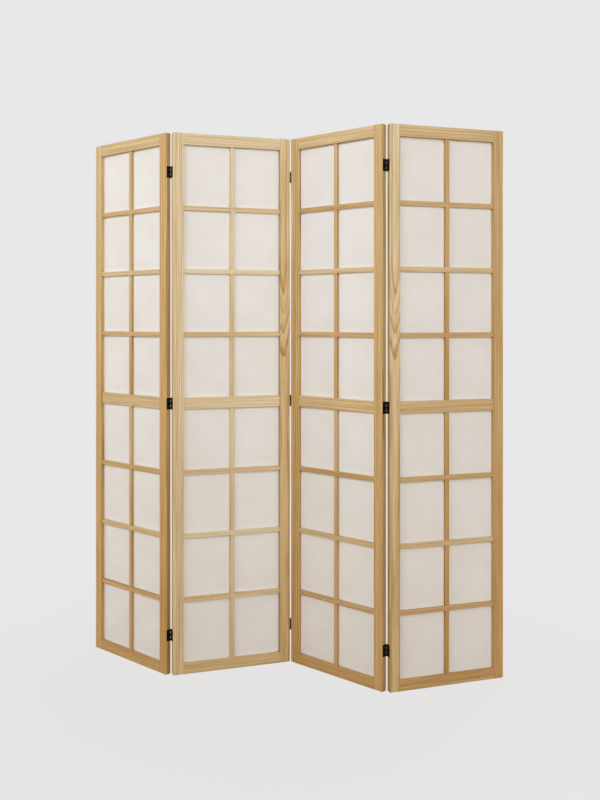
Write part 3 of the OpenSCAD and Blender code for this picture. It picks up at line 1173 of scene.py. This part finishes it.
    def build_paper(self, level: str) -> None:
        """Makes a sheet of paper, stuck flat all round and a little slack between the bars, paler beside the
        wood as painted light.

        Args:
            level: Which opening it fills, lower or upper.
        """
        box = self.papers[level]
        bm = bmesh.new()
        across, up = (round(box.size[axis] / self.cell) for axis in (Axis.ACROSS, Axis.UP))
        bmesh.ops.create_grid(bm, x_segments=across, y_segments=up, size=0.5)
        stand = Matrix.Rotation(math.radians(90), 4, "X")
        scale = Matrix.Diagonal((box.size.x, 1.0, box.size.z, 1.0))
        front = Vector((box.middle.x, box.low.y + self.paper_gap, box.middle.z))
        bm.transform(Matrix.Translation(front) @ scale @ stand)
        grain = bm.verts.layers.float_vector.new(GRAIN)
        edge, backed = (bm.verts.layers.float.new(name) for name in (PAINTED_EDGE_SHADING, BACKED))
        start = Vector([self.timber.chance.uniform(0, 9) for _ in range(3)])
        for vert in bm.verts:
            clear = self.clear_run(vert.co)
            free = max(0.0, clear)
            # backed: where wood lies behind, darkened in the material partly as the lattice's painted shadow
            vert[backed] = max(-1.0, min(1.0, -(clear + self.backed_from) / self.backed_reach))
            vert[grain] = Vector((vert.co.x, vert.co.z, 0.0)) + start
            # edge: painted light on the rim beside the wood
            vert[edge] = max(0.0, 1 - free / self.painted_light_reach)
            wave = Vector((vert.co.x * self.ripples[0], self.ripple_seed, vert.co.z * self.ripples[1]))
            share = 1 - self.ripple + self.ripple * noise.noise(wave)
            vert.co.y += self.slack * share * min(1.0, free / self.slack_reach) ** 2
        place_paper = self.label(f"{level}_paper", "paper")
        piece = place_piece(place_paper, bm, self.place.to_row, self.finishes.paper)
        wall = piece.modifiers.new("paper_thickness", "SOLIDIFY")
        wall.thickness, wall.offset = box.size.y * self.paper_share, -1.0
        piece.modifiers.move(1, 0)

    def clear_run(self, point: Vector) -> float:
        """How far a point of the paper is from the nearest wood in front of it, below 0 on the wood."""
        gaps = [point.x - self.left.high.x, self.right.low.x - point.x]
        gaps += [abs(point.x - bar.middle.x) - bar.size.x / 2 for bar in self.upright_bars[:1]]
        gaps += [abs(point.z - bar.middle.z) - bar.size.z / 2 for bar in self.cross_bars]
        gaps.append(max(min(point.z - low, high - point.z) for low, high in self.openings))
        return min(gaps)

    def build_beads(self) -> None:
        """Makes the beads that hold the paper's edges down."""
        solids = []
        for box in self.beads:
            stock = Stock(box)
            along = box.longest
            stock.round_over(
                lambda e: runs_along(e, along) and lies_at(e, Axis.DEPTH, box.high.y), self.bead_arris, 2
            )
            stock.close()
            self.timber.saw(stock.bm, box, HIDDEN_BOARD)
            solids.append(stock.bm)
        self.fix("paper_beads", "bar_wood", solids, self.finishes.bar)

    def build_dowels(self) -> None:
        """Makes the fluted dowels that hold the rails to the stiles."""
        solids = []
        for box in self.dowels:
            half, radius = box.size.x / 2, box.size.z / 2
            tip, full = radius - self.dowel_chamfer, half - self.dowel_chamfer
            rod = TurnedRod([(-half, tip), (-full, radius), (full, radius), (half, tip)])
            rod.flute(self.dowel_flute)
            rod.close()
            lying = Matrix.Translation(box.middle) @ Matrix.Rotation(math.radians(90), 4, "Y")
            solids.append(carried(rod.bm, lying))
            self.timber.saw(rod.bm, box, HIDDEN_BOARD)
        self.fix("dowels", "dowel_wood", solids, self.finishes.dowel)


# ---- Hinges ----


@dataclass
class ButtHinges:
    """The three butt hinges of one joint: two leaves rolled round a headed pin, and four screws, each.

    A hinge is shaped about its barrel's axis. Its own panel's edge stands at minus the barrel's
    radius along x, and the leaf runs from the axis along +y. Mirrors turn it to the other leaf,
    and to the joints that fold the other way.
    """

    number: int
    places: dict[Side, Place]
    finishes: Finishes
    chance: random.Random
    leaf_t: float = 0.9 * MM
    leaf_corner: float = 1.5 * MM
    leaf_edge: float = 0.12 * MM      # ease of a leaf's stamped edges
    knuckles: int = 5
    knuckle_gap: float = 0.3 * MM
    swing_clearance: float = 0.4 * MM
    curl: float = math.radians(292)   # how far a knuckle is rolled round its pin
    curl_steps: int = 22
    pin_r: float = 0.8 * MM
    pin_head_r: float = 1.5 * MM
    pin_head_t: float = 0.8 * MM
    head_r: float = 2.4 * MM
    head_rim: float = 0.14 * MM       # height of a screw head's upright rim
    shank_r: float = 1.3 * MM
    tip_r: float = 0.3 * MM
    tip_l: float = 3.0 * MM
    hole_clearance: float = 0.1 * MM
    recess: tuple[float, float, float] = (3.0 * MM, 0.7 * MM, 0.7 * MM)  # length, width and depth
    recess_taper: float = 0.72        # its size at the bottom, as a share
    pin_dome: tuple[tuple[float, float], ...] = ((0.0, 1.0), (0.45, 1.0), (0.85, 0.75), (1.0, 0.35))

    def __post_init__(self) -> None:
        """Reads the joint's axis and the barrel's size from the frame."""
        joint = next(j for j in frame["joints"] if j["name"] == f"fold_{self.number}")
        self.axis_in_row = Vector(joint["pos_m"])
        pins = self.places[Side.LEFT].solids(self.node("pins"))
        self.heights = [pin.middle.z for pin in pins]
        leaf = self.leaf_boxes(Side.LEFT)[0]
        self.barrel_r = leaf.size.x / 2
        self.height = leaf.size.z
        self.leaf_w = leaf.size.y - self.barrel_r

    def node(self, name: str) -> str:
        """The CAD node of one of this joint's pieces."""
        return f"hinge_{self.number}_{name}"

    def leaf_boxes(self, side: Side) -> list[Block]:
        """The boxes of one side's leaves, in that side's panel."""
        return self.places[side].solids(self.node(f"{side.value}_leaves"))

    def moves(self, side: Side) -> list[Matrix]:
        """The moves from a hinge's own frame to its panel's frame, from the lowest hinge up."""
        axis = self.places[side].to_row.inverted() @ self.axis_in_row
        runs_back = self.leaf_boxes(side)[0].middle.y > axis.y
        turn = Matrix.Diagonal((1.0 if side is Side.LEFT else -1.0, 1.0 if runs_back else -1.0, 1.0, 1.0))
        return [Matrix.Translation((axis.x, axis.y, z)) @ turn for z in self.heights]

    def build(self) -> None:
        """Makes every piece of the joint's three hinges."""
        for side in Side:
            self.place(f"{side.value}_leaves", side, "hinge_metal", self.finishes.leaf, self.leaf)
            self.place(f"{side.value}_screws", side, "screw_metal", self.finishes.screw, self.screws)
        self.place("pins", Side.LEFT, "pin_metal", self.finishes.pin, self.pin)

    def place(
        self, name: str, side: Side, slot: str, material: Material,
        shape: Callable[[Side], list[BMesh]],
    ) -> None:
        """Makes one node's worth of pieces, one for each hinge.

        Args:
            name: The pieces' name within the joint.
            side: The panel that they are fixed to.
            slot: The record's material slot.
            material: Their finish.
            shape: Makes the solids of one hinge, in the hinge's own frame.
        """
        solids = [carried(bm, move) for move in self.moves(side) for bm in shape(side)]
        label = Label(f"joint{self.number}_{name}", self.node(name), slot)
        place_piece(label, joined(solids), self.places[side].to_row, material)

    def leaf(self, side: Side) -> list[BMesh]:
        """Stamps a leaf, rolls its knuckles round the barrel's axis and countersinks its holes."""
        face = self.leaf_t - self.barrel_r
        low = Vector((-self.barrel_r, 0.0, -self.height / 2))
        plate = Stock(Block(low, Vector((face, self.leaf_w, self.height / 2))))
        plate.round_over(
            lambda e: runs_along(e, Axis.ACROSS) and lies_at(e, Axis.DEPTH, self.leaf_w), self.leaf_corner, 5
        )
        pitch = self.height / self.knuckles
        own = range(0 if side is Side.LEFT else 1, self.knuckles, 2)
        room = self.barrel_r + self.swing_clearance
        for i in set(range(self.knuckles)) - set(own):
            start = i * pitch - (self.height + self.knuckle_gap) / 2
            stop = start + pitch + self.knuckle_gap
            plate.step(Axis.UP, start, stop, lambda p: Vector((p.x, room, p.z)) if p.y < NEAR else None)
        for i in own:
            height = (i + 0.5) * pitch - self.height / 2
            self.roll_knuckle(plate, Vector((face - self.leaf_t / 2, 0.0, height)))
        plate.soften(self.leaf_edge, 2)
        for centre in self.screw_places(side):
            mouth = Vector((face, centre.y, centre.z))
            radii = (self.head_r + self.hole_clearance, self.shank_r + self.hole_clearance)
            plate.countersink(mouth, Axis.ACROSS, -self.leaf_t, radii)
        plate.close()
        return [plate.bm]

    def roll_knuckle(self, plate: Stock, root: Vector) -> None:
        """Rolls the tongue that a point lies on round the barrel's axis."""
        bmesh.ops.spin(
            plate.bm, geom=[plate.face_at(root)], cent=(0, 0, 0), axis=(0, 0, 1), dvec=(0, 0, 0),
            angle=self.curl, steps=self.curl_steps, use_merge=False, use_duplicate=False,
        )

    def screw_places(self, side: Side) -> list[Vector]:
        """The middles of one hinge's two screws in the hinge's own frame."""
        boxes = self.places[side].solids(self.node(f"{side.value}_screws"))[:2]
        back = self.moves(side)[0].inverted()
        return [back @ box.middle for box in boxes]

    def screws(self, side: Side) -> list[BMesh]:
        """Makes one hinge's two screws, each turned home to a chance angle."""
        length = self.places[side].solids(self.node(f"{side.value}_screws"))[0].size.x
        made = []
        for centre in self.screw_places(side):
            screw = TurnedRod([
                (-length, self.tip_r), (self.tip_l - length, self.shank_r), (-self.leaf_t, self.shank_r),
                (-self.head_rim, self.head_r), (0.0, self.head_r),
            ])
            self.sink_cross(screw)
            screw.close()
            seat = Matrix.Translation((self.leaf_t - self.barrel_r, centre.y, centre.z))
            driven = Matrix.Rotation(self.chance.uniform(0, math.pi), 4, "Z")
            lying = Matrix.Rotation(math.radians(90), 4, "Y")
            made.append(carried(screw.bm, seat @ lying @ driven))
        return made

    def sink_cross(self, screw: Stock) -> None:
        """Sinks a cross recess in a screw's head."""
        length, width, depth = self.recess
        arm = (length - width) / 4
        screw.panel_cut(Vector((0.0, 0.0, 0.0)), Vector((length / 2, width / 2, 0.0)))
        offsets = [Vector((0.0, side * (length + width) / 4, 0.0)) for side in (-1, 1)]
        for offset in offsets:
            screw.panel_cut(offset, Vector((width / 2, arm, 0.0)))
        cross = [screw.face_at(point) for point in (Vector((0.0, 0.0, 0.0)), *offsets)]
        made = bmesh.ops.extrude_face_region(screw.bm, geom=cross)["geom"]
        for vert in (g for g in made if isinstance(g, BMVert)):
            vert.co = Vector((*(vert.co.xy * self.recess_taper), -depth))

    def pin(self, side: Side) -> list[BMesh]:
        """Makes a pin with a domed button on each end."""
        half = self.height / 2
        dome = [(half + up * self.pin_head_t, out * self.pin_head_r) for up, out in self.pin_dome]
        below = [(-height, radius) for height, radius in reversed(dome)]
        pin = TurnedRod([*below, (-half, self.pin_r), (half, self.pin_r), *dome])
        pin.close()
        return [pin.bm]


# ---- Stage ----


@dataclass(frozen=True)
class Lamp:
    """A square soft light."""

    place: tuple[float, float, float]
    target: tuple[float, float, float]
    size: float
    power: float
    colour: tuple[float, float, float] = (1.0, 1.0, 1.0)
    spread: float = 180.0             # width of its beam, in degrees


class Studio:
    """The floor, the lights and the camera."""

    floor_half = 14.0
    floor_colour = srgb(206, 196, 184)
    glow_run = (0.6, 1.8)             # how far out the floor starts and ends melting into the backdrop
    glow_near = 0.92                  # how much of it has melted already nearer than that
    backdrop = srgb(232, 232, 232)
    room_colour = (1.0, 0.88, 0.78, 1.0)
    room_strength = 0.32
    lens = 45.71
    view_fall = -0.1036               # shift of the view, as a share of its height
    eye = (0.7771, -3.2742, 1.1742)
    heading = 12.43                   # degrees that the camera is turned to the left
    lamps = {
        "crown": Lamp((0.0, -4.2, 3.4), (-0.2, 0.0, 1.7), 1.6, 5.2, (0.76, 0.90, 1.0), 50.0),
        "front": Lamp((-2.2, -3.8, 3.4), (0.0, 0.0, 1.1), 2.4, 75.0, (0.88, 0.90, 1.0)),
        "left": Lamp((-4.4, -1.2, 2.1), (0.0, 0.0, 1.1), 2.2, 38.0, (1.0, 1.0, 0.88)),
        "right": Lamp((5.0, -4.0, 2.8), (0.2, 0.0, 1.2), 3.3, 115.0),
        "rear": Lamp((1.2, 4.6, 3.0), (0.0, 0.0, 1.0), 3.0, 200.0, (0.94, 0.97, 1.0)),
    }

    def build(self) -> None:
        """Sets up the whole stage."""
        scene = bpy.context.scene
        scene.view_settings.view_transform = "Standard"
        self.build_world(scene)
        self.build_floor()
        for name, lamp in self.lamps.items():
            self.hang(name, lamp)
        self.build_camera(scene)

    def build_world(self, scene: Scene) -> None:
        """Fills the room with soft light in front of a pale backdrop."""
        world = bpy.data.worlds.new("studio")
        scene.world = world
        world.use_nodes = True
        n = Nodes(world.node_tree)
        room = world.node_tree.nodes["Background"]
        n.feed(room, {"Color": self.room_colour, "Strength": self.room_strength})
        seen = n.add("ShaderNodeBackground", {"Color": self.backdrop, "Strength": 1.0})
        direct = n.add("ShaderNodeLightPath").outputs["Is Camera Ray"]
        mix = n.add("ShaderNodeMixShader", {0: direct, 1: room.outputs[0], 2: seen.outputs[0]})
        n.feed(world.node_tree.nodes["World Output"], {"Surface": mix.outputs[0]})

    def build_floor(self) -> None:
        """Lays a pale floor that melts into the backdrop."""
        bm = bmesh.new()
        bmesh.ops.create_grid(bm, x_segments=8, y_segments=8, size=self.floor_half)
        mesh = bpy.data.meshes.new("floor")
        bm.to_mesh(mesh)
        bm.free()
        material = bpy.data.materials.new("floor")
        material.use_nodes = True
        n = Nodes(material.node_tree)
        material.node_tree.nodes.remove(material.node_tree.nodes["Principled BSDF"])
        matt = n.add("ShaderNodeBsdfDiffuse", {"Color": self.floor_colour})
        glow = n.add("ShaderNodeEmission", {"Color": self.backdrop, "Strength": 1.0})
        away = n.vector("LENGTH", n.add("ShaderNodeTexCoord").outputs["Object"])
        direct = n.add("ShaderNodeLightPath").outputs["Is Camera Ray"]
        even = n.math("MULTIPLY", direct, n.ramp(away, *self.glow_run, self.glow_near, 1.0))
        mix = n.add("ShaderNodeMixShader", {0: even, 1: matt.outputs[0], 2: glow.outputs[0]})
        n.feed(material.node_tree.nodes["Material Output"], {"Surface": mix.outputs[0]})
        mesh.materials.append(material)
        floor = bpy.data.objects.new("floor", mesh)
        bpy.context.scene.collection.objects.link(floor)

    def hang(self, name: str, lamp: Lamp) -> None:
        """Hangs a light and points it at its target."""
        light = bpy.data.lights.new(name, "AREA")
        light.shape, light.size, light.spread = "SQUARE", lamp.size, math.radians(lamp.spread)
        light.energy, light.color = lamp.power, lamp.colour
        hung = bpy.data.objects.new(name, light)
        hung.location = lamp.place
        hung.rotation_mode = "QUATERNION"
        hung.rotation_quaternion = (Vector(lamp.target) - hung.location).to_track_quat("-Z", "Y")
        bpy.context.scene.collection.objects.link(hung)

    def build_camera(self, scene: Scene) -> None:
        """Stands the camera level in front and to the right, with a small fall of the view."""
        view = bpy.data.cameras.new("camera")
        view.lens, view.sensor_width, view.shift_y = self.lens, 36.0, self.view_fall
        camera = bpy.data.objects.new("camera", view)
        camera.location = self.eye
        camera.rotation_euler = (math.radians(90), 0.0, math.radians(self.heading))
        scene.collection.objects.link(camera)
        scene.camera = camera


def main() -> None:
    """Builds the panels, the hinges and the stage."""
    logging.basicConfig(level=logging.INFO, format="%(name)s: %(message)s")
    finishes = Finishes()
    places = [Place.of(number) for number in range(1, 5)]
    for place in places:
        Panel(place, finishes, Timber(seed=place.number)).build()
    for left, right in zip(places, places[1:]):
        sides = {Side.LEFT: left, Side.RIGHT: right}
        ButtHinges(left.number, sides, finishes, random.Random(left.number)).build()
    Studio().build()


if __name__ == "__main__":
    main()
